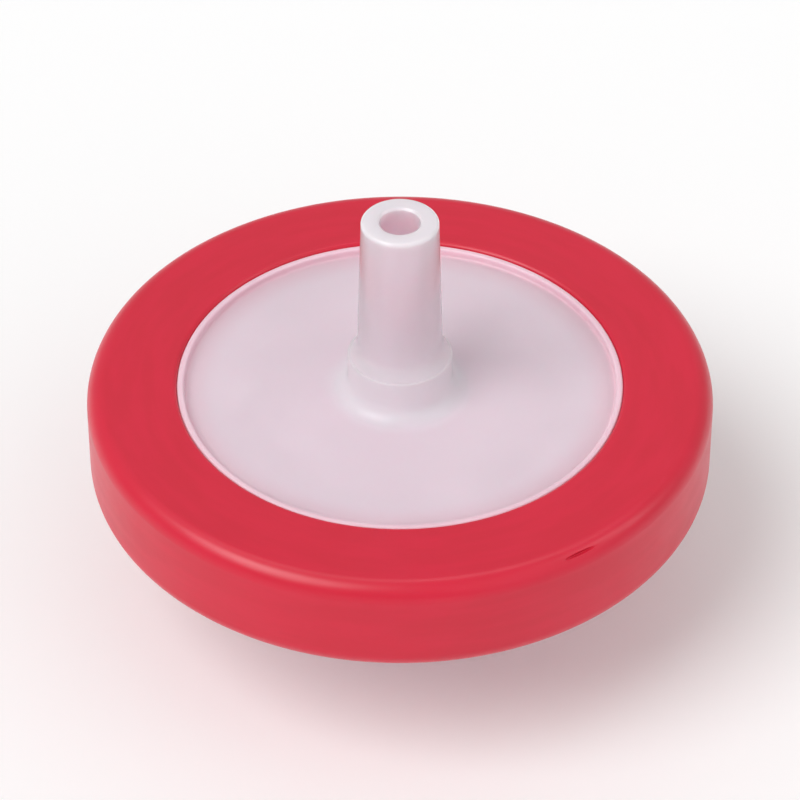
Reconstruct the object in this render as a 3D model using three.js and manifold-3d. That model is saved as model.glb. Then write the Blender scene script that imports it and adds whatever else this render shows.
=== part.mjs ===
// A 25 mm syringe filter: two polypropylene halves that pinch a membrane, locked together by a moulded ring.
// Millimetres, +Z up. It stands on the end of its inlet hub, its axis along Z, with the slip tip on top.

import * as THREE from 'three';
import { mergeVertices } from 'three/addons/utils/BufferGeometryUtils.js';
import Module from 'manifold-3d';

const wasm = await Module();
wasm.setup();

// ---- Driving dimensions ----

const turnSegments = 48; // facets in one full turn
const roundSegments = 3; // facets in each rounded edge

const membraneDia = 25; // the filter's nominal size
const membraneThickness = 0.2;
const membraneGap = 0.3; // between the membrane's edge and the skirt round it
const landWidth = 1.3; // how much of the membrane's edge is pinched
const fitGap = 0.05; // clearance between walls that slide or are moulded together

const skirtWall = 1.9; // the outlet half's skirt, outside the membrane
const skirtDrop = 0.85; // how far the skirt reaches past the membrane
const ringWall = 1.8; // the ring, outside the skirt
const ringFlange = 1.1; // the ring's two flanges, over and under the housing rims
const ringOverlap = 0.75; // how far the flanges reach in past the membrane's edge
const ringCornerRadius = 1;
const windowEdgeRadius = 0.25;

const discWall = 1.8; // each half's disc, inside the ring's window
const discRecess = 0.5; // the disc's face, in from the ring's face
const cavityDepth = 0.35; // the flow space on each side of the membrane
const beadWidth = 0.35; // the raised bead round the window, which the ring is moulded against
const beadSetback = 0.1; // the bead's crest, in from the ring's face
const beadRadius = 0.12;

const taper = 0.06; // change of diameter for each millimetre along both fittings

const socketMouthDia = 4.3;
const socketDepth = 7.6;
const socketFloorRise = 0.6; // the cone that closes the socket down to the inlet bore
const socketChamfer = 0.2;
const inletBoreDia = 2;
const inletBoreLength = 1.4; // the straight part, between the socket and the flow space
const hubWall = 0.75; // round the socket's mouth
const hubDraft = 0.2; // how much the hub's radius grows towards the disc
const hubEdgeRadius = 0.15;
const hubRootRadius = 1.2;

const lugReach = 1; // how far each lock lug stands out from the hub
const lugWidth = 3.4;
const lugThickness = 1.65;
const lugEdgeRadius = 0.2;

const tipDia = 4.02;
const tipLength = 8.6; // from the collar to the very end
const tipEdgeRadius = 0.2;
const tipBoreDia = 2.1;
const tipBoreChamfer = 0.1;
const collarStep = 0.482; // how far the collar stands out from the tip's wide end
const collarHeight = 2.3;
const collarEdgeRadius = 0.1;
const collarRootRadius = 0.9;
const flareHeight = 0.7; // the flare that joins the slip tip to its collar
const flareLedge = 0.12; // flat left on the collar's top, round the flare
const flareRadius = 1.5;

const funnelRise = 0.6; // the cone where each bore meets its flow space
const supportRibWidth = 0.6;
const supportRibPitch = 1.8;
const channelCount = 8; // radial channels through the support ribs
const channelWidth = 0.8;
const channelSill = 0.05; // what is left of a rib at the bottom of a channel

// ---- Places worked out from them ----

const membraneRadius = membraneDia / 2;
const cavityRadius = membraneRadius - landWidth;
const windowRadius = membraneRadius - ringOverlap;
const beadOuterRadius = windowRadius - fitGap;
const beadInnerRadius = beadOuterRadius - beadWidth;
const skirtInnerRadius = membraneRadius + membraneGap;
const rimRadius = skirtInnerRadius + skirtWall;
const ringRadius = rimRadius + ringWall;

const inletBoreRadius = inletBoreDia / 2;
const socketMouthRadius = socketMouthDia / 2;
const socketFloorRadius = socketMouthRadius - taper * socketDepth / 2;
const hubRadius = socketMouthRadius + hubWall;
const lugRadius = hubRadius + lugReach;
const tipBoreRadius = tipBoreDia / 2;
const tipRadius = tipDia / 2;
const flareTopRadius = tipRadius + taper * (tipLength - flareHeight) / 2;
const collarRadius = tipRadius + taper * tipLength / 2 + collarStep;

// Levels are distances from the middle plane of the membrane, out along the axis on either side.
const seatLevel = membraneThickness / 2;
const cavityLevel = seatLevel + cavityDepth;
const discLevel = cavityLevel + discWall;
const faceLevel = discLevel + discRecess;
const beadLevel = faceLevel - beadSetback;
const rimLevel = faceLevel - ringFlange;
const inletBoreLevel = cavityLevel + funnelRise + inletBoreLength;
const socketFloorLevel = inletBoreLevel + socketFloorRise;
const hubLevel = socketFloorLevel + socketDepth;
const collarLevel = discLevel + collarHeight;
const tipLevel = collarLevel + tipLength;

// ---- Shared shapes ----

// Turns corners [radius, level, rounding] into outline points, with an arc wherever there is a rounding.
function outline(corners) {
  const points = corners.map(([radius, level]) => new THREE.Vector2(radius, level));
  return corners.flatMap(([, , rounding], i) => {
    const corner = points[i];
    if (!rounding) {
      return [corner];
    }
    const toLast = points.at(i - 1).clone().sub(corner).normalize();
    const toNext = points[(i + 1) % points.length].clone().sub(corner).normalize();
    const halfAngle = Math.acos(toLast.dot(toNext)) / 2;
    const start = toLast.clone().multiplyScalar(rounding / Math.tan(halfAngle)).add(corner);
    const centre = toLast.clone().add(toNext).setLength(rounding / Math.sin(halfAngle)).add(corner);
    const sweep = (Math.PI - 2 * halfAngle) * Math.sign(toNext.cross(toLast));
    return Array.from({ length: roundSegments + 1 }, (_, step) =>
      start.clone().rotateAround(centre, sweep * step / roundSegments));
  });
}

// A closed outline turned round the Z axis. The outline runs anticlockwise, up its outer side.
function turned(corners) {
  const points = outline(corners);
  return new THREE.LatheGeometry([...points, points[0]], turnSegments).rotateX(Math.PI / 2);
}

function toSolid(geometry) {
  const bare = geometry.clone();
  bare.deleteAttribute('normal');
  bare.deleteAttribute('uv');
  const merged = mergeVertices(bare);
  const vertProperties = new Float32Array(merged.attributes.position.array);
  const triVerts = new Uint32Array(merged.index.array);
  return new wasm.Manifold(new wasm.Mesh({ numProp: 3, vertProperties, triVerts }));
}

function toGeometry(solid) {
  const mesh = solid.getMesh();
  const geometry = new THREE.BufferGeometry();
  geometry.setAttribute('position', new THREE.BufferAttribute(mesh.vertProperties, 3));
  geometry.setIndex(new THREE.BufferAttribute(mesh.triVerts, 1));
  geometry.computeVertexNormals();
  return geometry;
}

// A bar centred on the axis, lying across it at an angle, between two levels.
function crossBar(length, width, fromLevel, toLevel, angle) {
  const bar = new THREE.BoxGeometry(length, width, toLevel - fromLevel);
  return toSolid(bar.translate(0, 0, (fromLevel + toLevel) / 2).rotateZ(angle));
}

// The outside edge that both halves share: the disc's face, its bead and the rim under the ring's flange.
function discEdge() {
  return [
    [rimRadius, rimLevel],
    [beadOuterRadius, rimLevel],
    [beadOuterRadius, beadLevel, beadRadius],
    [beadInnerRadius, beadLevel, beadRadius],
    [beadInnerRadius, discLevel],
  ];
}

// ---- Sub-parts, each built about the middle plane with its outside upwards ----

// The red ring: a channel that wraps the rims of both halves.
function overmouldRing() {
  const channelRadius = rimRadius + fitGap;
  return turned([
    [windowRadius, -faceLevel, windowEdgeRadius],
    [ringRadius, -faceLevel, ringCornerRadius],
    [ringRadius, faceLevel, ringCornerRadius],
    [windowRadius, faceLevel, windowEdgeRadius],
    [windowRadius, rimLevel],
    [channelRadius, rimLevel],
    [channelRadius, -rimLevel],
    [windowRadius, -rimLevel],
  ]);
}

// The lock lugs at the end of the hub: a short flange, left only where a bar crosses it.
function lockLugs() {
  const lugLevel = hubLevel - lugThickness;
  const rootRadius = socketMouthRadius + hubWall / 2;
  const flange = turned([
    [rootRadius, lugLevel],
    [lugRadius, lugLevel, lugEdgeRadius],
    [lugRadius, hubLevel, lugEdgeRadius],
    [rootRadius, hubLevel],
  ]);
  const margin = lugThickness;
  const bar = crossBar(2 * (lugRadius + margin), lugWidth, lugLevel - margin, hubLevel + margin, 0);
  return toSolid(flange).intersect(bar);
}

// The inlet half: disc, seat for the membrane, and the hub with its tapered socket and lock lugs.
function inletHousing() {
  const bossRadius = skirtInnerRadius - fitGap;
  const flangeLevel = skirtDrop;
  const body = turned([
    [inletBoreRadius, inletBoreLevel],
    [inletBoreRadius, cavityLevel + funnelRise],
    [inletBoreRadius + funnelRise, cavityLevel],
    [cavityRadius, cavityLevel],
    [cavityRadius, seatLevel],
    [bossRadius, seatLevel],
    [bossRadius, flangeLevel],
    [rimRadius, flangeLevel],
    ...discEdge(),
    [hubRadius + hubDraft, discLevel, hubRootRadius],
    [hubRadius, hubLevel, hubEdgeRadius],
    [socketMouthRadius + socketChamfer, hubLevel],
    [socketMouthRadius, hubLevel - socketChamfer],
    [socketFloorRadius, socketFloorLevel],
  ]);
  return toGeometry(toSolid(body).add(lockLugs()));
}

// The corners of the ring-shaped ribs that carry the membrane, from the bore outwards.
function supportRibCorners() {
  const firstRadius = tipBoreRadius + funnelRise + supportRibPitch / 2;
  const count = Math.floor((cavityRadius - firstRadius) / supportRibPitch) + 1;
  return Array.from({ length: count }, (_, i) => {
    const inner = firstRadius + i * supportRibPitch - supportRibWidth / 2;
    const outer = inner + supportRibWidth;
    return [[inner, cavityLevel], [inner, seatLevel], [outer, seatLevel], [outer, cavityLevel]];
  }).flat();
}

// The outlet half: disc, support ribs, the skirt round the membrane, and the slip tip on its collar.
function outletHousing() {
  const ribs = supportRibCorners();
  const body = turned([
    [tipBoreRadius, tipLevel - tipBoreChamfer],
    [tipBoreRadius, cavityLevel + funnelRise],
    [tipBoreRadius + funnelRise, cavityLevel],
    ...ribs,
    [cavityRadius, cavityLevel],
    [cavityRadius, seatLevel],
    [skirtInnerRadius, seatLevel],
    [skirtInnerRadius, -skirtDrop],
    [rimRadius, -skirtDrop],
    ...discEdge(),
    [collarRadius, discLevel, collarRootRadius],
    [collarRadius, collarLevel, collarEdgeRadius],
    [collarRadius - flareLedge, collarLevel],
    [flareTopRadius, collarLevel + flareHeight, flareRadius],
    [tipRadius, tipLevel, tipEdgeRadius],
    [tipBoreRadius + tipBoreChamfer, tipLevel],
  ]);
  const channelLength = 2 * (ribs.at(-1)[0] + fitGap);
  let solid = toSolid(body);
  for (let i = 0; i < channelCount / 2; i++) {
    const angle = i * 2 * Math.PI / channelCount;
    const channel = crossBar(channelLength, channelWidth, 0, cavityLevel - channelSill, angle);
    solid = solid.subtract(channel);
  }
  return toGeometry(solid);
}

function membrane() {
  const disc = new THREE.CylinderGeometry(membraneRadius, membraneRadius, membraneThickness, turnSegments);
  return disc.rotateX(Math.PI / 2);
}

// ---- Assembly ----

const redPlastic = new THREE.MeshStandardMaterial({ color: 0xd2293f, roughness: 0.3, metalness: 0 });
const milkyPlastic = new THREE.MeshStandardMaterial({ color: 0xeeeaee, roughness: 0.4, metalness: 0 });
const membraneWhite = new THREE.MeshStandardMaterial({ color: 0xfbfbfb, roughness: 0.9, metalness: 0 });

const syringeFilter = new THREE.Group();

function addPiece(name, geometry, material) {
  const piece = new THREE.Mesh(geometry, material);
  piece.name = name;
  syringeFilter.add(piece);
  return piece;
}

addPiece('overmould_ring', overmouldRing(), redPlastic);
addPiece('inlet_housing', inletHousing(), milkyPlastic).rotation.x = Math.PI;
addPiece('outlet_housing', outletHousing(), milkyPlastic);
addPiece('membrane', membrane(), membraneWhite);
syringeFilter.position.z = hubLevel;

export default syringeFilter;
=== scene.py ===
"""The fine visual model of a 25 mm syringe filter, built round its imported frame.

Two milky polypropylene halves pinch a white membrane, and a red ring is moulded round their
rims. Sizes are in metres. Levels are distances out from the middle plane of the membrane, up
to the slip tip or down to the inlet.
"""

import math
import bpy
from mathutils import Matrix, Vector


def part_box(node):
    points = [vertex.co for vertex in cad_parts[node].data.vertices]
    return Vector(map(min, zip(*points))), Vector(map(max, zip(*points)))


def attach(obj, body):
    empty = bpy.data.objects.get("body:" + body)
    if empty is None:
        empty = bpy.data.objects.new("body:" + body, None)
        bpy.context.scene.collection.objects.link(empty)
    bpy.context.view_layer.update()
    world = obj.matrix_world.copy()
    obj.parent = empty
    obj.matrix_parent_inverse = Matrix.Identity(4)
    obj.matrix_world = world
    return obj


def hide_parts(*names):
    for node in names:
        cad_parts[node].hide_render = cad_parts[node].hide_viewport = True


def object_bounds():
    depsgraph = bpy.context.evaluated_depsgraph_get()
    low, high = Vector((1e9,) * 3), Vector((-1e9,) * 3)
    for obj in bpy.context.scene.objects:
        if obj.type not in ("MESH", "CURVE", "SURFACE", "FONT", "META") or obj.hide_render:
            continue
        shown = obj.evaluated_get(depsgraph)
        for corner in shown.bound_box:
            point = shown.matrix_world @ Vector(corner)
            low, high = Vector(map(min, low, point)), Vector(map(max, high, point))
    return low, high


bl_info = {
    "name": "Syringe Filter",
    "version": (1, 0, 0),
    "blender": (4, 5, 0),
    "location": "3D View > Sidebar > Syringe Filter",
    "description": "Builds a 25 mm syringe filter with its finishes, lights and camera",
    "category": "Add Mesh",
}

import bmesh
import bpy
from bpy.props import FloatProperty, FloatVectorProperty, IntProperty, PointerProperty
from bpy.types import Operator, Panel, PropertyGroup
from mathutils import Matrix, Vector

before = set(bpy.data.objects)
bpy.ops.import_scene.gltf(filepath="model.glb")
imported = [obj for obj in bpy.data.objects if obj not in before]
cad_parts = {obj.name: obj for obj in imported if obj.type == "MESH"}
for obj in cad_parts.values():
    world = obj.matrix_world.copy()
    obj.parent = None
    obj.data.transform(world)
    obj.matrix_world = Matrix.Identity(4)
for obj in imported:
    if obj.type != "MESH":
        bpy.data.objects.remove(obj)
CAD_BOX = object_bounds()

MM = 0.001
TURN_SEGMENTS = 240  # facets in one full turn
ARC_STEP = math.radians(9)  # the most that one facet of a rounding turns
WELD = 0.001 * MM  # points closer than this are one point
SHARP_ANGLE = math.radians(28)  # edges that turn more than this stay crisp

RED = "moulded_red"
MILKY = "milky_plastic"
WHITE = "porous_white"

_, RING_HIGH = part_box("overmould_ring")
INLET_LOW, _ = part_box("inlet_housing")
OUTLET_LOW, OUTLET_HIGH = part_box("outlet_housing")
MEMBRANE_LOW, MEMBRANE_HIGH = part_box("membrane")

MIDDLE = (MEMBRANE_LOW.z + MEMBRANE_HIGH.z) / 2
SEAT_LEVEL = MEMBRANE_HIGH.z - MIDDLE
FACE_LEVEL = RING_HIGH.z - MIDDLE
TIP_LEVEL = OUTLET_HIGH.z - MIDDLE
HUB_LEVEL = MIDDLE - INLET_LOW.z
SKIRT_LEVEL = MIDDLE - OUTLET_LOW.z

RING_RADIUS = RING_HIGH.x
RIM_RADIUS = OUTLET_HIGH.x
MEMBRANE_RADIUS = MEMBRANE_HIGH.x

LUG_STEPS = 16  # facets along a lug's curved side
LUG_BEVEL_STEPS = 5
SCAR_FACETS = (32, 16)  # facets of the gate scar's cutter, round it and from pole to pole
RIB_POINTS_ACROSS = 7

# The cloudiness of the plastics. Scales are in features per metre.
MIDTONES = (0.3, 0.7)  # the part of a noise's range that holds most of its values
FLOW_LINES = 1100.0
FLOW_BREAKS = 3.0  # how often the flow marks change on their way round
RING_HAZE = 500
RING_WAVES = 220
RING_GRAIN = 2500
MILK_CLOUDS = 180
MILK_WAVES = 250
MILK_GRAIN = 3500
FIBRES = 9000

# Where the milky plastic changes, as distances from the axis, from an end or from the ring.
GLOSS_ENDS = (2.3 * MM, 2.8 * MM)
FITTING_ENDS = (2.9 * MM, 4.2 * MM)
# How far in from the ring the painted pink glow of the red ring's light reaches.
RING_GLOW_REACH = 2.2 * MM
CLEARING = 5 * MM  # how far past the ring's face a fitting reaches its full clearness
END_BAND = 0.4 * MM  # how far from its end a fitting looks whiter
DENSE = 0.3  # share of its clearness that the plastic keeps at the ends and the bead
# How strongly the painted pink glow of the red ring tints the disc's border.
RING_GLOW_SHARE = 0.6
CLEARNESS_CLOUDS = 0.03
ROUGHNESS_CLOUDS = 0.02

FLOOR_TONE = (0.92, 0.92, 0.92)
FLOOR_REACH = 3
PLAIN_WHITE = (1, 1, 1)
PANEL_BRIGHTNESS = 3


# ---- Settings ----


def length(name, description, millimetres):
    """A length in the sidebar, with its default given in millimetres."""
    return FloatProperty(
        name=name,
        description=description,
        default=millimetres * MM,
        unit="LENGTH",
        subtype="DISTANCE",
        precision=5,
    )


def angle(name, description, degrees):
    """An angle in the sidebar, with its default given in degrees."""
    return FloatProperty(
        name=name,
        description=description,
        default=math.radians(degrees),
        subtype="ANGLE",
        unit="ROTATION",
    )


def colour(name, description, default):
    """A colour in the sidebar, in linear values."""
    return FloatVectorProperty(
        name=name, description=description, default=default, subtype="COLOR", min=0, max=1
    )


def share(name, description, default):
    """A share from 0 to 1 in the sidebar."""
    return FloatProperty(
        name=name, description=description, default=default, subtype="FACTOR", min=0, max=1
    )


class RingSizes(PropertyGroup):
    """Sizes of the moulded ring."""

    flange: length("Flange", "Thickness of each flange over the housing rims", 1.1)
    overlap: length("Overlap", "How far the flanges reach in past the membrane's edge", 0.75)
    corner_rounding: length("Corner Rounding", "Radius of the ring's two outer edges", 1)
    window_rounding: length("Window Rounding", "Radius of the edges round the window", 0.25)
    clearance: length("Clearance", "Gap left at the round walls between ring and halves", 0.01)
    mark_length: length("Gate Mark Length", "Length of the scar that the gate leaves", 2.4)
    mark_width: length("Gate Mark Width", "Width of the gate's scar", 0.22)
    mark_depth: length("Gate Mark Depth", "Depth of the gate's scar", 0.14)
    mark_turn: angle("Gate Mark Turn", "Place of the gate's scar round the axis", -36)
    mark_slope: angle("Gate Mark Slope", "How far down the outer rounding the scar lies", 42)


class DiscSizes(PropertyGroup):
    """Sizes that both halves share."""

    recess: length("Recess", "How far the disc lies under the ring's face", 0.5)
    wall: length("Wall", "Thickness of the disc", 1.8)
    land_width: length("Land Width", "How much of the membrane's edge is pinched", 1.3)
    bead_width: length("Bead Width", "Width of the bead that the ring is moulded against", 0.35)
    bead_setback: length("Bead Setback", "How far the bead lies under the ring's face", 0.1)
    bead_rounding: length("Bead Rounding", "Radius of the bead's two edges", 0.12)
    root_rounding: length("Root Rounding", "Radius where the bead meets the disc", 0.12)
    skirt_gap: length("Skirt Gap", "Gap between the membrane's edge and the skirt", 0.3)
    funnel_rise: length("Funnel Rise", "Height of the cone where a bore meets its flow space", 0.6)
    taper: share("Taper", "Change of diameter along the fittings", 0.06)


class InletSizes(PropertyGroup):
    """Sizes of the inlet half's hub, socket and lock lugs."""

    bore: length("Bore", "Diameter of the inlet bore", 2)
    socket_mouth: length("Socket Mouth", "Diameter of the socket at its mouth", 4.3)
    socket_depth: length("Socket Depth", "Depth of the tapered socket", 7.6)
    socket_chamfer: length("Socket Chamfer", "Bevel round the socket's mouth", 0.2)
    floor_rise: length("Floor Rise", "Height of the cone from the socket to the bore", 0.6)
    hub_wall: length("Hub Wall", "Wall round the socket's mouth", 0.75)
    hub_draft: length("Hub Draft", "How much the hub's radius grows towards the disc", 0.2)
    hub_rounding: length("Hub Rounding", "Radius of the hub's end edge", 0.15)
    hub_root: length("Hub Root", "Radius of the fillet between hub and disc", 1.2)
    lug_reach: length("Lug Reach", "How far each lug stands out from the hub", 1)
    lug_width: length("Lug Width", "Width of each lug", 3.4)
    lug_thickness: length("Lug Thickness", "Thickness of each lug along the axis", 1.65)
    lug_rounding: length("Lug Rounding", "Radius of the lugs' edges", 0.2)
    lug_setback: length("Lug Setback", "How far the lugs stop short of the hub's end", 0.02)


class OutletSizes(PropertyGroup):
    """Sizes of the outlet half's slip tip and collar."""

    bore: length("Bore", "Diameter of the bore through the slip tip", 2.1)
    bore_chamfer: length("Bore Chamfer", "Bevel round the bore's end", 0.1)
    tip: length("Tip", "Diameter of the slip tip at its end", 4.02)
    tip_rounding: length("Tip Rounding", "Radius of the tip's end edge", 0.2)
    collar: length("Collar", "Diameter of the collar", 5.5)
    collar_height: length("Collar Height", "From the disc to the collar's ledge", 2.3)
    collar_rounding: length("Collar Rounding", "Radius of the collar's edge", 0.1)
    collar_root: length("Collar Root", "Radius of the fillet between collar and disc", 0.9)
    flare_height: length("Flare Height", "Height of the flare from the collar to the tip", 0.7)
    flare_ledge: length("Flare Ledge", "Flat left on the collar round the flare", 0.12)
    flare_rounding: length("Flare Rounding", "Radius where the flare runs into the tip", 1.5)


class RibSizes(PropertyGroup):
    """Sizes of the ribs that carry the membrane on the outlet side."""

    count: IntProperty(name="Count", description="Number of ring-shaped ribs", default=5, min=1)
    pitch: length("Pitch", "From one rib to the next", 1.8)
    width: length("Width", "Width of a rib", 0.6)
    crown: length("Crown", "How much a rib's edges fall away from its crest", 0.08)
    root: length("Root", "How far the ribs run into the disc", 0.03)
    channels: IntProperty(
        name="Channels", description="Number of radial channels through the ribs", default=8, min=2
    )
    channel_width: length("Channel Width", "Width of a radial channel", 0.8)
    arc_steps: IntProperty(
        name="Arc Steps", description="Facets along one stretch of rib", default=24, min=2
    )


class Finishes(PropertyGroup):
    """Colours and surface finish of the three materials."""

    ring: colour("Ring", "Red of the moulded ring", (0.68, 0.006, 0.038))
    ring_deep: colour("Ring Deep", "Darker red of the ring's flow marks", (0.64, 0.005, 0.032))
    fittings: colour("Fittings", "Milky white of the hub and slip tip", (1.0, 0.855, 0.92))
    discs: colour("Discs", "Milky white of the discs", (0.96, 0.765, 0.845))
    # Painted pink glow: the red ring's light showing through and reflected in the disc's border and
    # bead.
    painted_ring_glow: colour("Painted Ring Glow", "Pink that the ring lends to the discs' border", (0.93, 0.55, 0.64))
    membrane: colour("Membrane", "White of the membrane", (0.93, 0.93, 0.93))
    clearness: share("Clearness", "Light that goes straight through the milky discs", 0.2)
    fitting_clearness: share(
        "Fitting Clearness", "Light that goes straight through the fittings", 0.55
    )


class StageSettings(PropertyGroup):
    """Camera and light."""

    elevation: angle("Elevation", "Height of the camera above the horizon", 40)
    azimuth: angle("Azimuth", "Turn of the camera round the filter", 20)
    lens: FloatProperty(
        name="Lens",
        description="Focal length",
        default=180,
        subtype="DISTANCE_CAMERA",
        unit="CAMERA",
    )
    filling: share("Filling", "Share of the picture's width that the ring takes up", 0.78)
    ambient: FloatProperty(
        name="Ambient",
        description="Light from all round, where 1 lights white to white",
        default=0.58,
        min=0,
    )


# ---- Meshes ----


def outline(corners):
    """Turn corners (radius, level, rounding) into points, with an arc where there is a rounding."""
    points = [Vector(corner[:2]) for corner in corners]
    result = []
    for i, corner in enumerate(points):
        rounding = corners[i][2] if len(corners[i]) > 2 else 0
        if not rounding:
            result.append(corner)
            continue
        to_last = (points[i - 1] - corner).normalized()
        to_next = (points[(i + 1) % len(points)] - corner).normalized()
        half_angle = to_last.angle(to_next) / 2
        start = corner + to_last * rounding / math.tan(half_angle)
        centre = corner + (to_last + to_next).normalized() * rounding / math.sin(half_angle)
        sweep = math.copysign(math.pi - 2 * half_angle, to_next.cross(to_last))
        steps = math.ceil(abs(sweep) / ARC_STEP)
        for step in range(steps + 1):
            result.append(centre + Matrix.Rotation(sweep * step / steps, 2) @ (start - centre))
    return result


def new_piece(name, mesh):
    """Put a mesh in the scene as a named object at the origin."""
    piece = bpy.data.objects.new(name, mesh)
    bpy.context.scene.collection.objects.link(piece)
    return piece


def turned(name, corners, side=1):
    """Turn a closed outline round the axis, on the outlet's side (1) or the inlet's (-1).

    The corners run anticlockwise, up the outer side. An outline that touches the axis gets a
    closed pole there.
    """
    points = outline(corners)[::side]
    bm = bmesh.new()
    rings = []
    for radius, level in points:
        height = MIDDLE + side * level
        if radius == 0:
            rings.append([bm.verts.new((0, 0, height))] * TURN_SEGMENTS)
            continue
        rings.append([
            bm.verts.new((radius * math.cos(turn), radius * math.sin(turn), height))
            for turn in (step * math.tau / TURN_SEGMENTS for step in range(TURN_SEGMENTS))
        ])
    for ring, following in zip(rings, rings[1:] + rings[:1]):
        for step in range(TURN_SEGMENTS):
            last = step - 1
            face = dict.fromkeys((ring[last], ring[step], following[step], following[last]))
            if len(face) > 2:
                bm.faces.new(face)
    mesh = bpy.data.meshes.new(name)
    bm.to_mesh(mesh)
    bm.free()
    return new_piece(name, mesh)


def apply_modifiers(piece):
    """Make what the piece's modifiers give its own plain mesh."""
    graph = bpy.context.evaluated_depsgraph_get()
    mesh = bpy.data.meshes.new_from_object(piece.evaluated_get(graph), depsgraph=graph)
    piece.modifiers.clear()
    piece.data = mesh


def shade(piece):
    """Shade smooth, with crisp edges at real corners and flat faces kept flat beside their roundings."""
    piece.data.shade_smooth()
    piece.data.set_sharp_from_angle(angle=SHARP_ANGLE)
    even = piece.modifiers.new("Even shading", "WEIGHTED_NORMAL")
    even.keep_sharp = True
    apply_modifiers(piece)


def hand_over(piece, material, node=None):
    """Give a finished piece its material and slot, and let it ride on the frame in place of its node."""
    piece.data.materials.clear()
    piece.data.materials.append(bpy.data.materials[material])
    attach(piece, "root")
    if node:
        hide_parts(node)


# ---- Outlines ----


def disc_levels(discs):
    """The levels of the disc's outer face and of its flow space."""
    disc_level = FACE_LEVEL - discs.recess
    return disc_level, disc_level - discs.wall


def disc_edge(discs, rings):
    """The edge that both halves share: the rim under the flange, the bead and the disc's border."""
    disc_level, _ = disc_levels(discs)
    rim_level = FACE_LEVEL - rings.flange
    bead_level = FACE_LEVEL - discs.bead_setback
    outer = MEMBRANE_RADIUS - rings.overlap - rings.clearance
    inner = outer - discs.bead_width
    return [
        (RIM_RADIUS, rim_level),
        (outer, rim_level),
        (outer, bead_level, discs.bead_rounding),
        (inner, bead_level, discs.bead_rounding),
        (inner, disc_level, discs.root_rounding),
    ]


def ring_corners(rings):
    """The ring's section: a channel that wraps the rims of both halves."""
    window = MEMBRANE_RADIUS - rings.overlap
    channel = RIM_RADIUS + rings.clearance
    rim_level = FACE_LEVEL - rings.flange
    return [
        (window, -FACE_LEVEL, rings.window_rounding),
        (RING_RADIUS, -FACE_LEVEL, rings.corner_rounding),
        (RING_RADIUS, FACE_LEVEL, rings.corner_rounding),
        (window, FACE_LEVEL, rings.window_rounding),
        (window, rim_level),
        (channel, rim_level),
        (channel, -rim_level),
        (window, -rim_level),
    ]


def inlet_corners(discs, rings, inlet):
    """The inlet half's section, without its lugs."""
    disc_level, cavity_level = disc_levels(discs)
    bore = inlet.bore / 2
    mouth = inlet.socket_mouth / 2
    hub = mouth + inlet.hub_wall
    socket_floor = HUB_LEVEL - inlet.socket_depth
    cavity = MEMBRANE_RADIUS - discs.land_width
    boss = MEMBRANE_RADIUS + discs.skirt_gap - rings.clearance
    return [
        (bore, socket_floor - inlet.floor_rise),
        (bore, cavity_level + discs.funnel_rise),
        (bore + discs.funnel_rise, cavity_level),
        (cavity, cavity_level),
        (cavity, SEAT_LEVEL),
        (boss, SEAT_LEVEL),
        (boss, SKIRT_LEVEL),
        (RIM_RADIUS, SKIRT_LEVEL),
        *disc_edge(discs, rings),
        (hub + inlet.hub_draft, disc_level, inlet.hub_root),
        (hub, HUB_LEVEL, inlet.hub_rounding),
        (mouth + inlet.socket_chamfer, HUB_LEVEL),
        (mouth, HUB_LEVEL - inlet.socket_chamfer),
        (mouth - discs.taper * inlet.socket_depth / 2, socket_floor),
    ]


def outlet_corners(discs, rings, outlet):
    """The outlet half's section, without its support ribs."""
    disc_level, cavity_level = disc_levels(discs)
    collar_level = disc_level + outlet.collar_height
    flare_level = collar_level + outlet.flare_height
    bore = outlet.bore / 2
    tip = outlet.tip / 2
    collar = outlet.collar / 2
    cavity = MEMBRANE_RADIUS - discs.land_width
    skirt = MEMBRANE_RADIUS + discs.skirt_gap
    return [
        (bore, TIP_LEVEL - outlet.bore_chamfer),
        (bore, cavity_level + discs.funnel_rise),
        (bore + discs.funnel_rise, cavity_level),
        (cavity, cavity_level),
        (cavity, SEAT_LEVEL),
        (skirt, SEAT_LEVEL),
        (skirt, -SKIRT_LEVEL),
        (RIM_RADIUS, -SKIRT_LEVEL),
        *disc_edge(discs, rings),
        (collar, disc_level, outlet.collar_root),
        (collar, collar_level, outlet.collar_rounding),
        (collar - outlet.flare_ledge, collar_level),
        (tip + discs.taper * (TIP_LEVEL - flare_level) / 2, flare_level, outlet.flare_rounding),
        (tip, TIP_LEVEL, outlet.tip_rounding),
        (bore + outlet.bore_chamfer, TIP_LEVEL),
    ]


def gate_scar(rings):
    """A slim cutter, shaped as the scar that the gate leaves on the ring's outer rounding."""
    half_width = rings.mark_width / 2
    half_height = rings.mark_depth * 2
    reach = RING_RADIUS - rings.corner_rounding
    out = rings.corner_rounding + half_height - rings.mark_depth
    middle = Matrix.Translation((
        reach + out * math.sin(rings.mark_slope),
        0,
        MIDDLE + FACE_LEVEL - rings.corner_rounding + out * math.cos(rings.mark_slope),
    ))
    shape = Matrix.Diagonal((half_width, rings.mark_length / 2, half_height, 1))
    lean = Matrix.Rotation(rings.mark_slope, 4, "Y")
    turn = Matrix.Rotation(rings.mark_turn, 4, "Z")
    bm = bmesh.new()
    around, along = SCAR_FACETS
    bmesh.ops.create_uvsphere(
        bm, u_segments=around, v_segments=along, radius=1, matrix=turn @ middle @ lean @ shape
    )
    mesh = bpy.data.meshes.new("gate_scar")
    bm.to_mesh(mesh)
    bm.free()
    return new_piece("gate_scar", mesh)


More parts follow.
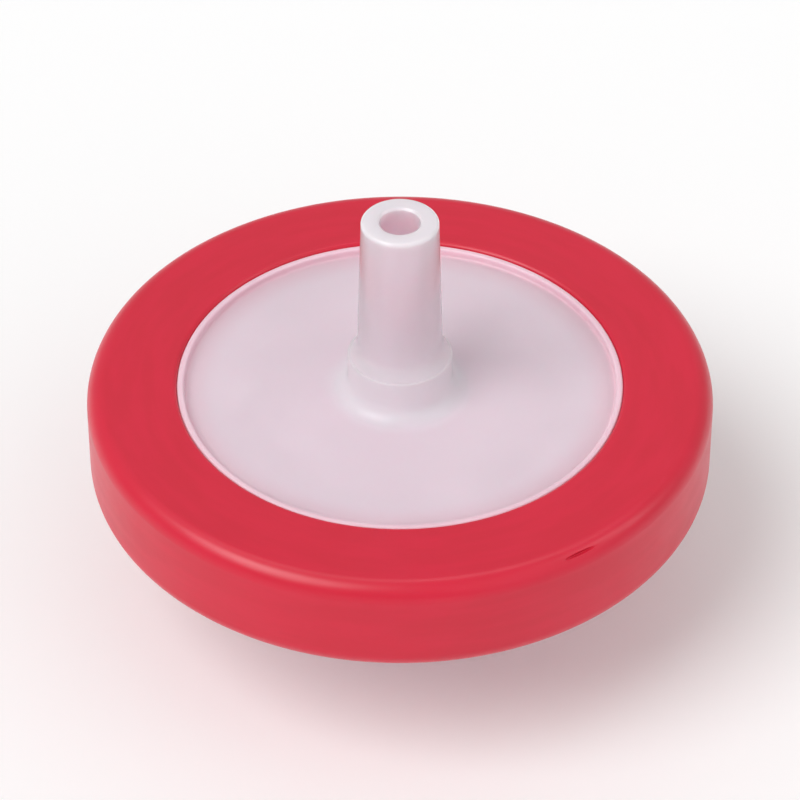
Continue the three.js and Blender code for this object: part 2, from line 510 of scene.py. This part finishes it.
def combine(piece, other, operation):
    """Join another closed mesh to the piece, or cut it out, and remove the other."""
    step = piece.modifiers.new(other.name, "BOOLEAN")
    step.operation = operation
    step.solver = "EXACT"
    step.object = other
    apply_modifiers(piece)
    bpy.data.objects.remove(other)
    bm = bmesh.new()
    bm.from_mesh(piece.data)
    bmesh.ops.remove_doubles(bm, verts=bm.verts, dist=WELD)
    bmesh.ops.dissolve_degenerate(bm, edges=bm.edges, dist=WELD)
    bm.to_mesh(piece.data)
    bm.free()


def lock_lugs(inlet):
    """Two lugs with rounded edges, as closed blocks that start inside the hub's wall."""
    mouth = inlet.socket_mouth / 2
    inner = mouth + inlet.hub_wall / 2
    outer = mouth + inlet.hub_wall + inlet.lug_reach
    low = MIDDLE - HUB_LEVEL + inlet.lug_setback
    bm = bmesh.new()
    for side in (1, -1):
        plan = []
        for radius, way in ((outer, 1), (inner, -1)):
            half = math.asin(inlet.lug_width / 2 / radius)
            for step in range(LUG_STEPS + 1):
                turn = way * half * (2 * step / LUG_STEPS - 1)
                plan.append((side * radius * math.cos(turn), side * radius * math.sin(turn), low))
        base = bm.faces.new([bm.verts.new(point) for point in plan])
        top = bmesh.ops.extrude_face_region(bm, geom=[base])["geom"]
        top_points = [part for part in top if isinstance(part, bmesh.types.BMVert)]
        bmesh.ops.translate(bm, verts=top_points, vec=(0, 0, inlet.lug_thickness))
    bmesh.ops.recalc_face_normals(bm, faces=bm.faces)
    mesh = bpy.data.meshes.new("lock_lugs")
    bm.to_mesh(mesh)
    bm.free()
    lugs = new_piece("lock_lugs", mesh)
    rounding = lugs.modifiers.new("Rounded edges", "BEVEL")
    rounding.width = inlet.lug_rounding
    rounding.segments = LUG_BEVEL_STEPS
    rounding.limit_method = "ANGLE"
    return lugs


# ---- Node trees ----


class TreeMaker:
    """Adds nodes to one tree, each with its inputs set or linked, laid out from left to right."""

    SPACING = 200
    MATH_NODE = "ShaderNodeMath"  # the same node serves shader and geometry trees

    def __init__(self, tree):
        self.tree = tree
        self.column = 0

    def add(self, kind, inputs=None, **settings):
        """Add one node.

        inputs maps a socket's name or number to a value or to the socket that feeds it.
        """
        node = self.tree.nodes.new(kind)
        node.location = (self.column * self.SPACING, 0)
        self.column += 1
        for name, value in settings.items():
            setattr(node, name, value)
        for key, value in (inputs or {}).items():
            self.feed(node.inputs[key], value)
        return node

    def feed(self, socket, value):
        """Set a socket to a value, or link it to the socket that feeds it."""
        if isinstance(value, bpy.types.NodeSocket):
            self.tree.links.new(value, socket)
        else:
            socket.default_value = value

    def math(self, operation, first, second=0.0, third=0.0):
        """A Math node's result."""
        values = {0: first, 1: second, 2: third}
        return self.add(self.MATH_NODE, values, operation=operation).outputs[0]


def rib_tree():
    """Ring-shaped ribs cut by straight radial channels, as a node tree with named sizes."""
    tree = bpy.data.node_groups.new("Support ribs", "GeometryNodeTree")
    sockets = (
        ("Ribs", "NodeSocketInt"),
        ("First Radius", "NodeSocketFloat"),
        ("Pitch", "NodeSocketFloat"),
        ("Rib Width", "NodeSocketFloat"),
        ("Crown", "NodeSocketFloat"),
        ("Crest Height", "NodeSocketFloat"),
        ("Root Height", "NodeSocketFloat"),
        ("Channels", "NodeSocketInt"),
        ("Channel Width", "NodeSocketFloat"),
        ("Arc Steps", "NodeSocketInt"),
        ("Material", "NodeSocketMaterial"),
    )
    for name, kind in sockets:
        tree.interface.new_socket(name=name, in_out="INPUT", socket_type=kind)
    tree.interface.new_socket(name="Geometry", in_out="OUTPUT", socket_type="NodeSocketGeometry")
    maker = TreeMaker(tree)
    given = maker.add("NodeGroupInput").outputs

    # One straight block for each rib, numbered from the middle outwards.
    block = maker.add("GeometryNodeMeshCube", {
        "Size": (1, 2, 1),
        "Vertices X": RIB_POINTS_ACROSS,
        "Vertices Y": given["Arc Steps"],
        "Vertices Z": 2,
    }).outputs["Mesh"]
    spots = maker.add("GeometryNodePoints", {"Count": given["Ribs"]}).outputs[0]
    blocks = maker.add("GeometryNodeInstanceOnPoints", {"Points": spots, "Instance": block}).outputs[0]
    index = maker.add("GeometryNodeInputIndex").outputs[0]
    numbered = maker.add("GeometryNodeStoreNamedAttribute", {
        "Geometry": blocks, "Name": "rib", "Value": index,
    }, data_type="INT", domain="INSTANCE").outputs[0]
    loose = maker.add("GeometryNodeRealizeInstances", {"Geometry": numbered}).outputs[0]

    # Each block bends into an arc that ends square to its channel.
    stored = maker.add("GeometryNodeInputNamedAttribute", {"Name": "rib"}, data_type="INT")
    number = stored.outputs[0]
    place = maker.add("GeometryNodeInputPosition").outputs[0]
    across, along, up = maker.add("ShaderNodeSeparateXYZ", {0: place}).outputs
    rib_middle = maker.math("MULTIPLY_ADD", number, given["Pitch"], given["First Radius"])
    radius = maker.math("MULTIPLY_ADD", across, given["Rib Width"], rib_middle)
    sector = maker.math("DIVIDE", math.pi, given["Channels"])
    half_channel = maker.math("DIVIDE", given["Channel Width"], 2.0)
    cut_angle = maker.math("ARCSINE", maker.math("DIVIDE", half_channel, radius))
    half_arc = maker.math("SUBTRACT", sector, cut_angle)
    turn = maker.math("MULTIPLY", along, half_arc)
    x = maker.math("MULTIPLY", radius, maker.math("COSINE", turn))
    y = maker.math("MULTIPLY", radius, maker.math("SINE", turn))

    # The crest is crowned, and the root runs into the disc.
    edge = maker.math("MULTIPLY", across, 2.0)
    fall = maker.math("MULTIPLY", maker.math("MULTIPLY", edge, edge), given["Crown"])
    crest = maker.math("ADD", given["Crest Height"], fall)
    upper = maker.math("ADD", up, 0.5)
    rise = maker.math("SUBTRACT", given["Root Height"], crest)
    z = maker.math("MULTIPLY_ADD", upper, rise, crest)
    bent_place = maker.add("ShaderNodeCombineXYZ", {0: x, 1: y, 2: z}).outputs[0]
    bent = maker.add("GeometryNodeSetPosition", {"Geometry": loose, "Position": bent_place}).outputs[0]

    # The one sector is repeated round the axis, between the channels.
    turns = maker.add("GeometryNodePoints", {"Count": given["Channels"]}).outputs[0]
    step = maker.math("MULTIPLY", sector, 2.0)
    angle = maker.math("MULTIPLY_ADD", index, step, sector)
    spin = maker.add("ShaderNodeCombineXYZ", {2: angle}).outputs[0]
    around = maker.add("GeometryNodeInstanceOnPoints", {
        "Points": turns, "Instance": bent, "Rotation": spin,
    }).outputs[0]
    whole = maker.add("GeometryNodeRealizeInstances", {"Geometry": around}).outputs[0]
    painted = maker.add("GeometryNodeSetMaterial", {
        "Geometry": whole, "Material": given["Material"],
    }).outputs[0]
    maker.add("NodeGroupOutput", {0: painted})
    return tree


def set_inputs(modifier, values):
    """Set a Geometry Nodes modifier's inputs by their names in the tree."""
    for socket in modifier.node_group.interface.items_tree:
        if socket.name in values:
            modifier[socket.identifier] = values[socket.name]


# ---- Materials ----


def new_material(name):
    """An empty node material, with a maker for its tree."""
    material = bpy.data.materials.new(name)
    material.use_nodes = True
    material.node_tree.nodes.clear()
    return material, TreeMaker(material.node_tree)


def noise(maker, place, scale, detail=2.0, roughness=0.5):
    """A noise texture's value, from 0 to 1."""
    inputs = {"Vector": place, "Scale": scale, "Detail": detail, "Roughness": roughness}
    return maker.add("ShaderNodeTexNoise", inputs).outputs["Fac"]


def spread(maker, value, low, high, start=0.0, end=1.0):
    """Carry a value that runs from start to end smoothly over to the range from low to high."""
    inputs = {"Value": value, "From Min": start, "From Max": end, "To Min": low, "To Max": high}
    return maker.add("ShaderNodeMapRange", inputs, interpolation_type="SMOOTHSTEP").outputs[0]


def blend_colours(maker, factor, first, second):
    """Mix two colours."""
    node = maker.add("ShaderNodeMix", data_type="RGBA")
    maker.feed(node.inputs["Factor"], factor)
    for name, value in (("A", first), ("B", second)):
        socket = next(s for s in node.inputs if s.name == name and s.type == "RGBA")
        maker.feed(socket, value if isinstance(value, bpy.types.NodeSocket) else (*value, 1))
    return next(s for s in node.outputs if s.type == "RGBA")


def bump(maker, height, distance, normal=None):
    """A bump of a real height in metres, on top of another one if given."""
    inputs = {"Height": height, "Distance": distance, "Strength": 1.0}
    if normal:
        inputs["Normal"] = normal
    return maker.add("ShaderNodeBump", inputs).outputs[0]


def finish_material(maker, inputs):
    """Close the tree with its shader."""
    shader = maker.add("ShaderNodeBsdfPrincipled", inputs)
    maker.add("ShaderNodeOutputMaterial", {"Surface": shader.outputs[0]})


def distance_from_axis(maker, place):
    """The distance of a place from the filter's axis, and its height."""
    x, y, z = maker.add("ShaderNodeSeparateXYZ", {0: place}).outputs
    flat = maker.add("ShaderNodeCombineXYZ", {0: x, 1: y}).outputs[0]
    return maker.add("ShaderNodeVectorMath", {0: flat}, operation="LENGTH").outputs["Value"], z


def ring_material(finishes):
    """Satin red moulded plastic with faint flow marks round the ring and a slightly wavy surface."""
    _, maker = new_material(RED)
    place = maker.add("ShaderNodeTexCoord").outputs["Object"]
    radius, height = distance_from_axis(maker, place)
    x, y, _ = maker.add("ShaderNodeSeparateXYZ", {0: place}).outputs
    across = maker.math("MULTIPLY", maker.math("ADD", radius, height), FLOW_LINES)
    along_x = maker.math("MULTIPLY", maker.math("DIVIDE", x, radius), FLOW_BREAKS)
    along_y = maker.math("MULTIPLY", maker.math("DIVIDE", y, radius), FLOW_BREAKS)
    round_ring = maker.add("ShaderNodeCombineXYZ", {0: along_x, 1: along_y, 2: across}).outputs[0]
    flow = noise(maker, round_ring, 1.0, detail=3)
    deep = spread(maker, flow, 0, 1, *MIDTONES)
    red = blend_colours(maker, deep, finishes.ring, finishes.ring_deep)
    haze = spread(maker, noise(maker, place, RING_HAZE, detail=4), 0.3, 0.34, *MIDTONES)
    roughness = maker.math("ADD", haze, spread(maker, flow, 0, 0.04))
    wavy = bump(maker, noise(maker, place, RING_WAVES, detail=1), 0.06 * MM)
    grain = bump(maker, noise(maker, place, RING_GRAIN, detail=2), 0.003 * MM, wavy)
    finish_material(maker, {
        "Base Color": red,
        "Roughness": roughness,
        "Normal": grain,
        "IOR": 1.49,
        "Subsurface Weight": 0.2,
        "Subsurface Radius": (1, 0.2, 0.2),
        "Subsurface Scale": 0.5 * MM,
    })


def plastic_material(finishes, discs, rings):
    """Milky polypropylene: cloudy and satin, glossier on the slip tip, with a painted pink glow of the
    red ring beside it.
    """
    _, maker = new_material(MILKY)
    window = MEMBRANE_RADIUS - rings.overlap
    bead = window - rings.clearance - discs.bead_width
    place = maker.add("ShaderNodeTexCoord").outputs["Object"]
    radius, height = distance_from_axis(maker, place)
    clouds = noise(maker, place, MILK_CLOUDS, detail=3)
    off_fitting = spread(maker, radius, 0, 1, *FITTING_ENDS)
    milk = blend_colours(maker, off_fitting, finishes.fittings, finishes.discs)
    # Painted pink glow of the red ring's light, showing through and reflected in the disc's border and
    # bead.
    painted_ring_glow = spread(maker, radius, 0, RING_GLOW_SHARE, window - RING_GLOW_REACH, window)
    milk = blend_colours(maker, painted_ring_glow, milk, finishes.painted_ring_glow)
    dulled = spread(maker, radius, 0, 1, *GLOSS_ENDS)
    satin = spread(maker, dulled, 0.31, 0.4)
    cloudy = spread(maker, clouds, -ROUGHNESS_CLOUDS, ROUGHNESS_CLOUDS, *MIDTONES)
    roughness = maker.math("ADD", satin, cloudy)

    # Clearest up the fittings, and denser at their very ends and in the bead.
    level = maker.math("ABSOLUTE", maker.math("SUBTRACT", height, MIDDLE))
    rise = (FACE_LEVEL, FACE_LEVEL + CLEARING)
    thin = spread(maker, level, finishes.clearness, finishes.fitting_clearness, *rise)
    off_tip = spread(maker, height, 1, DENSE, OUTLET_HIGH.z - END_BAND, OUTLET_HIGH.z)
    off_hub = spread(maker, height, DENSE, 1, INLET_LOW.z, INLET_LOW.z + END_BAND)
    thin = maker.math("MULTIPLY", thin, maker.math("MULTIPLY", off_tip, off_hub))
    off_bead = spread(maker, radius, 1, 0, bead - discs.bead_width, bead)
    thin = maker.math("MULTIPLY", thin, spread(maker, off_bead, DENSE, 1))
    cloudy = spread(maker, clouds, CLEARNESS_CLOUDS, -CLEARNESS_CLOUDS, *MIDTONES)
    clearness = maker.math("ADD", thin, cloudy)
    wavy = bump(maker, noise(maker, place, MILK_WAVES, detail=1), 0.05 * MM)
    grain = bump(maker, noise(maker, place, MILK_GRAIN, detail=2), 0.002 * MM, wavy)
    finish_material(maker, {
        "Base Color": milk,
        "Roughness": roughness,
        "Normal": grain,
        "IOR": 1.4,
        "Transmission Weight": clearness,
        "Subsurface Weight": 1.0,
        "Subsurface Radius": (1, 0.9, 0.92),
        "Subsurface Scale": spread(maker, off_bead, 0.22 * MM, 1.0 * MM),
        "Coat Weight": spread(maker, dulled, 0.8, 0.15),
        "Coat Roughness": 0.12,
    })


def membrane_material(finishes):
    """Porous white film with a fine fibrous grain."""
    _, maker = new_material(WHITE)
    place = maker.add("ShaderNodeTexCoord").outputs["Object"]
    fibres = noise(maker, place, FIBRES, detail=5, roughness=0.7)
    tone = spread(maker, fibres, 0.94, 1.0, *MIDTONES)
    shaded = maker.add("ShaderNodeVectorMath", {0: tuple(finishes.membrane)}, operation="SCALE")
    maker.feed(shaded.inputs["Scale"], tone)
    grain = bump(maker, fibres, 0.01 * MM)
    finish_material(maker, {
        "Base Color": shaded.outputs[0],
        "Roughness": spread(maker, fibres, 0.8, 0.95),
        "Normal": grain,
        "Subsurface Weight": 0.2,
        "Subsurface Scale": 0.2 * MM,
    })


# ---- Operators ----


class FILTER_OT_finishes(Operator):
    """Make the three materials"""

    bl_idname = "filter.finishes"
    bl_label = "Make Finishes"

    def execute(self, context):
        scene = context.scene
        ring_material(scene.filter_finishes)
        plastic_material(scene.filter_finishes, scene.filter_discs, scene.filter_ring)
        membrane_material(scene.filter_finishes)
        return {"FINISHED"}


class FILTER_OT_ring(Operator):
    """Make the red ring that is moulded round both halves"""

    bl_idname = "filter.ring"
    bl_label = "Make Ring"

    def execute(self, context):
        ring = turned("red_ring", ring_corners(context.scene.filter_ring))
        combine(ring, gate_scar(context.scene.filter_ring), "DIFFERENCE")
        shade(ring)
        hand_over(ring, RED, "overmould_ring")
        return {"FINISHED"}


class FILTER_OT_inlet(Operator):
    """Make the inlet half with its tapered socket and two lock lugs"""

    bl_idname = "filter.inlet"
    bl_label = "Make Inlet Half"

    def execute(self, context):
        scene = context.scene
        corners = inlet_corners(scene.filter_discs, scene.filter_ring, scene.filter_inlet)
        half = turned("inlet_half", corners, side=-1)
        combine(half, lock_lugs(scene.filter_inlet), "UNION")
        shade(half)
        hand_over(half, MILKY, "inlet_housing")
        return {"FINISHED"}


class FILTER_OT_outlet(Operator):
    """Make the outlet half with its slip tip on a collar"""

    bl_idname = "filter.outlet"
    bl_label = "Make Outlet Half"

    def execute(self, context):
        scene = context.scene
        corners = outlet_corners(scene.filter_discs, scene.filter_ring, scene.filter_outlet)
        half = turned("outlet_half", corners)
        shade(half)
        hand_over(half, MILKY, "outlet_housing")
        return {"FINISHED"}


class FILTER_OT_ribs(Operator):
    """Make the outlet half's ribs that carry the membrane"""

    bl_idname = "filter.ribs"
    bl_label = "Make Support Ribs"

    def execute(self, context):
        scene = context.scene
        sizes = scene.filter_ribs
        _, cavity_level = disc_levels(scene.filter_discs)
        first = scene.filter_outlet.bore / 2 + scene.filter_discs.funnel_rise + sizes.pitch / 2
        ribs = new_piece("support_ribs", bpy.data.meshes.new("support_ribs"))
        pattern = ribs.modifiers.new("Support ribs", "NODES")
        pattern.node_group = rib_tree()
        set_inputs(pattern, {
            "Ribs": sizes.count,
            "First Radius": first,
            "Pitch": sizes.pitch,
            "Rib Width": sizes.width,
            "Crown": sizes.crown,
            "Crest Height": MIDDLE + SEAT_LEVEL,
            "Root Height": MIDDLE + cavity_level + sizes.root,
            "Channels": sizes.channels,
            "Channel Width": sizes.channel_width,
            "Arc Steps": sizes.arc_steps,
            "Material": bpy.data.materials[MILKY],
        })
        apply_modifiers(ribs)
        shade(ribs)
        hand_over(ribs, MILKY)
        return {"FINISHED"}


class FILTER_OT_membrane(Operator):
    """Make the membrane that the two halves pinch"""

    bl_idname = "filter.membrane"
    bl_label = "Make Membrane"

    def execute(self, context):
        rounding = SEAT_LEVEL / 2
        disc = turned("filter_membrane", [
            (0, -SEAT_LEVEL),
            (MEMBRANE_RADIUS, -SEAT_LEVEL, rounding),
            (MEMBRANE_RADIUS, SEAT_LEVEL, rounding),
            (0, SEAT_LEVEL),
        ])
        shade(disc)
        hand_over(disc, WHITE, "membrane")
        return {"FINISHED"}


def direction(azimuth, elevation):
    """The way from the filter to a camera or lamp.

    Azimuth 0 is the front, along -Y, and turns towards +X.
    """
    level = math.cos(elevation)
    return Vector((math.sin(azimuth) * level, -math.cos(azimuth) * level, math.sin(elevation)))


def hang(name, data, way, location):
    """Put a lamp or camera in the scene, looking back along the way that leads to it."""
    holder = bpy.data.objects.new(name, data)
    bpy.context.scene.collection.objects.link(holder)
    holder.location = location
    holder.rotation_mode = "QUATERNION"
    holder.rotation_quaternion = way.to_track_quat("Z", "Y")
    return holder


def soft_sun(name, azimuth, elevation, strength, softness):
    """A lamp without fall-off, so that the floor is evenly lit to the horizon."""
    lamp = bpy.data.lights.new(name, "SUN")
    lamp.energy = strength * math.pi
    lamp.angle = math.radians(softness)
    way = direction(math.radians(azimuth), math.radians(elevation))
    hang(name, lamp, way, way)


def soft_box(name, azimuth, elevation, distance, size):
    """A bright panel that only shows in the gloss of the plastic."""
    lamp = bpy.data.lights.new(name, "AREA")
    lamp.shape = "RECTANGLE"
    lamp.size, lamp.size_y = size
    lamp.energy = PANEL_BRIGHTNESS * math.pi * size[0] * size[1]
    way = direction(math.radians(azimuth), math.radians(elevation))
    holder = hang(name, lamp, way, (CAD_BOX[0] + CAD_BOX[1]) / 2 + way * distance)
    holder.visible_diffuse = False
    holder.visible_transmission = False


def background_rays(maker, *kinds):
    """1 for the kinds of ray that show the background as it is."""
    path = maker.add("ShaderNodeLightPath").outputs
    seen = path["Is Camera Ray"]
    for kind in kinds:
        seen = maker.math("MAXIMUM", seen, path[kind])
    return seen


def make_floor():
    """A wide floor, white where it is seen and softer where it lights the filter."""
    mesh = bpy.data.meshes.new("floor")
    corners = [
        (FLOOR_REACH * x, FLOOR_REACH * y, 0) for x, y in ((-1, -1), (1, -1), (1, 1), (-1, 1))
    ]
    mesh.from_pydata(corners, [], [(0, 1, 2, 3)])
    floor = new_piece("floor", mesh)
    floor.location.z = CAD_BOX[0].z
    material, maker = new_material("floor_white")
    seen = background_rays(maker, "Is Glossy Ray", "Is Transmission Ray")
    pale = blend_colours(maker, seen, FLOOR_TONE, PLAIN_WHITE)
    card = maker.add("ShaderNodeBsdfDiffuse", {"Color": pale}).outputs[0]
    maker.add("ShaderNodeOutputMaterial", {"Surface": card})
    mesh.materials.append(material)


def make_world(ambient):
    """White all round: plain background where it is seen, and softer where it lights the filter."""
    world = bpy.data.worlds.new("Studio")
    world.use_nodes = True
    world.node_tree.nodes.clear()
    maker = TreeMaker(world.node_tree)
    seen = background_rays(maker, "Is Transmission Ray")
    strength = spread(maker, seen, ambient, 1.0)
    inputs = {"Color": (*PLAIN_WHITE, 1), "Strength": strength}
    light = maker.add("ShaderNodeBackground", inputs).outputs[0]
    maker.add("ShaderNodeOutputWorld", {"Surface": light})
    bpy.context.scene.world = world


def make_camera(settings):
    """A long lens at the stage's viewing angle, with the ring filling its share of the picture."""
    lens = bpy.data.cameras.new("camera")
    lens.lens = settings.lens
    way = direction(settings.azimuth, settings.elevation)
    width = 2 * RING_RADIUS / settings.filling
    distance = width * settings.lens / lens.sensor_width
    lens.clip_start = distance / 10
    lens.clip_end = distance * 100
    middle = (CAD_BOX[0] + CAD_BOX[1]) / 2
    bpy.context.scene.camera = hang("camera", lens, way, middle + way * distance)


class FILTER_OT_stage(Operator):
    """Make the floor, lights and camera"""

    bl_idname = "filter.stage"
    bl_label = "Make Stage"

    def execute(self, context):
        settings = context.scene.filter_stage
        context.scene.view_settings.view_transform = "Standard"
        make_floor()
        make_world(settings.ambient)
        soft_sun("key", azimuth=-35, elevation=52, strength=0.45, softness=40)
        soft_sun("fill", azimuth=70, elevation=35, strength=0.1, softness=60)
        soft_box("window", azimuth=-60, elevation=55, distance=0.5, size=(0.25, 0.15))
        soft_box("strip", azimuth=110, elevation=40, distance=0.5, size=(0.08, 0.3))
        soft_box("back", azimuth=200, elevation=70, distance=0.6, size=(0.5, 0.08))
        make_camera(settings)
        return {"FINISHED"}


SECTIONS = (
    ("Finishes", "filter_finishes", Finishes, FILTER_OT_finishes),
    ("Ring", "filter_ring", RingSizes, FILTER_OT_ring),
    ("Discs", "filter_discs", DiscSizes, None),
    ("Inlet Half", "filter_inlet", InletSizes, FILTER_OT_inlet),
    ("Outlet Half", "filter_outlet", OutletSizes, FILTER_OT_outlet),
    ("Support Ribs", "filter_ribs", RibSizes, FILTER_OT_ribs),
    ("Membrane", None, None, FILTER_OT_membrane),
    ("Stage", "filter_stage", StageSettings, FILTER_OT_stage),
)


class FILTER_PT_sidebar(Panel):
    """Lists every size, colour and setting, with the button that makes each piece"""

    bl_idname = "FILTER_PT_sidebar"
    bl_label = "Syringe Filter"
    bl_space_type = "VIEW_3D"
    bl_region_type = "UI"
    bl_category = "Syringe Filter"

    def draw(self, context):
        for title, name, group, maker in SECTIONS:
            box = self.layout.box()
            box.label(text=title)
            for setting in group.__annotations__ if group else ():
                box.prop(getattr(context.scene, name), setting)
            if maker:
                box.operator(maker.bl_idname)


def register():
    for _, name, group, maker in SECTIONS:
        if group:
            bpy.utils.register_class(group)
            setattr(bpy.types.Scene, name, PointerProperty(type=group))
        if maker:
            bpy.utils.register_class(maker)
    bpy.utils.register_class(FILTER_PT_sidebar)


def unregister():
    bpy.utils.unregister_class(FILTER_PT_sidebar)
    for _, name, group, maker in reversed(SECTIONS):
        if maker:
            bpy.utils.unregister_class(maker)
        if group:
            delattr(bpy.types.Scene, name)
            bpy.utils.unregister_class(group)


def main():
    """Register the add-on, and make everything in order."""
    register()
    bpy.ops.filter.finishes()
    bpy.ops.filter.ring()
    bpy.ops.filter.inlet()
    bpy.ops.filter.outlet()
    bpy.ops.filter.ribs()
    bpy.ops.filter.membrane()
    bpy.ops.filter.stage()


if __name__ == "__main__":
    main()
